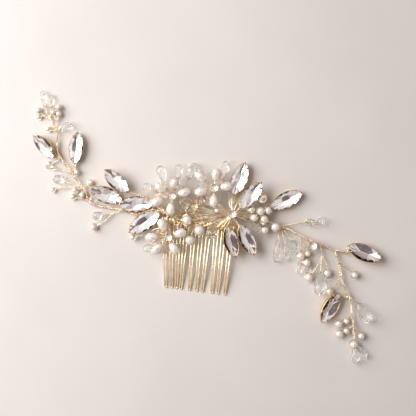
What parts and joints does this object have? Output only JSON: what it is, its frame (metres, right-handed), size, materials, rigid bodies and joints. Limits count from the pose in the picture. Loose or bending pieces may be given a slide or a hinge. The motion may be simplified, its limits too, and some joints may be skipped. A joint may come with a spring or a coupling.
{
  "type": "decorative hair comb",
  "caption": "Decorative hair comb: gold wire comb under pearl flowers and claw-set navette stones, with bendable beaded wire vines reaching out to both sides.",
  "frame": {"origin": "middle of the footprint on the flat surface that the comb lies on, back down", "axes": "+Z out of the decorated side, +Y from the tooth tips towards the flowers, +X to the right along the two vines' long reach"},
  "size_m": [0.1878, 0.148, 0.0118],
  "materials": {
    "gold_metal": "polished light gold plate",
    "beaded_wire": "twisted light gold wire threaded with pearls and clear glass beads",
    "navette_crystal": "foil-backed faceted clear crystal",
    "round_crystal": "round foil-backed rhinestone in a gold cup",
    "rice_pearl": "ivory white pearl lustre",
    "round_pearl": "ivory white pearl lustre",
    "clear_bead": "clear faceted glass"
  },
  "bodies": {
    "comb": {"bloom_heart": "round_crystal", "bloom_low_right_setting": "gold_metal", "bloom_low_right_stone": "navette_crystal", "bloom_low_setting": "gold_metal", "bloom_low_stone": "navette_crystal", "bloom_right_setting": "gold_metal", "bloom_right_stone": "navette_crystal", "bloom_top_right_setting": "gold_metal", "bloom_top_right_stone": "navette_crystal", "bloom_top_setting": "gold_metal", "bloom_top_stone": "navette_crystal", "centre_wires": "beaded_wire", "comb_spine": "gold_metal", "comb_tooth_01": "gold_metal", "comb_tooth_02": "gold_metal", "comb_tooth_03": "gold_metal", "comb_tooth_04": "gold_metal", "comb_tooth_05": "gold_metal", "comb_tooth_06": "gold_metal", "comb_tooth_07": "gold_metal", "comb_tooth_08": "gold_metal", "comb_tooth_09": "gold_metal", "comb_tooth_10": "gold_metal", "flower_left_heart": "round_crystal", "flower_left_petal_1": "rice_pearl", "flower_left_petal_2": "rice_pearl", "flower_left_petal_3": "rice_pearl", "flower_left_petal_4": "rice_pearl", "flower_left_petal_5": "rice_pearl", "flower_low_heart": "round_crystal", "flower_low_petal_1": "rice_pearl", "flower_low_petal_2": "rice_pearl", "flower_low_petal_3": "rice_pearl", "flower_low_petal_4": "rice_pearl", "flower_low_petal_5": "rice_pearl", "flower_top_heart": "round_crystal", "flower_top_petal_1": "rice_pearl", "flower_top_petal_2": "rice_pearl", "flower_top_petal_3": "rice_pearl", "flower_top_petal_4": "rice_pearl", "flower_top_petal_5": "rice_pearl", "left_fan_low_setting": "gold_metal", "left_fan_low_stone": "navette_crystal", "left_fan_middle_setting": "gold_metal", "left_fan_middle_stone": "navette_crystal", "left_fan_outer_setting": "gold_metal", "left_fan_outer_stone": "navette_crystal", "left_fan_top_setting": "gold_metal", "left_fan_top_stone": "navette_crystal"},
    "left_vine": {"left_vine_wires": "beaded_wire", "left_vine_tip_setting": "gold_metal", "left_vine_tip_stone": "navette_crystal", "left_vine_inner_setting": "gold_metal", "left_vine_inner_stone": "navette_crystal"},
    "right_vine": {"right_vine_wires": "beaded_wire", "right_vine_fork_setting": "gold_metal", "right_vine_fork_stone": "navette_crystal"},
    "right_tip": {"right_tip_wires": "beaded_wire", "right_vine_low_setting": "gold_metal", "right_vine_low_stone": "navette_crystal"}
  },
  "joints": [
    {"name": "left_vine_bend", "type": "hinge", "parent": "comb", "child": "left_vine", "pos_m": [-0.05975, 0.01155, 0.00135], "axis": [0.8848, 0.4659, 0], "range_deg": [0, 40]},
    {"name": "right_vine_bend", "type": "hinge", "parent": "comb", "child": "right_vine", "pos_m": [0.0337, 0.0027, 0.0019], "axis": [-0.5101, -0.8601, 0], "range_deg": [0, 35]},
    {"name": "right_tip_bend", "type": "hinge", "parent": "right_vine", "child": "right_tip", "pos_m": [0.06965, -0.0142, 0.00215], "axis": [-0.9806, -0.1961, 0], "range_deg": [0, 40]}
  ]
}
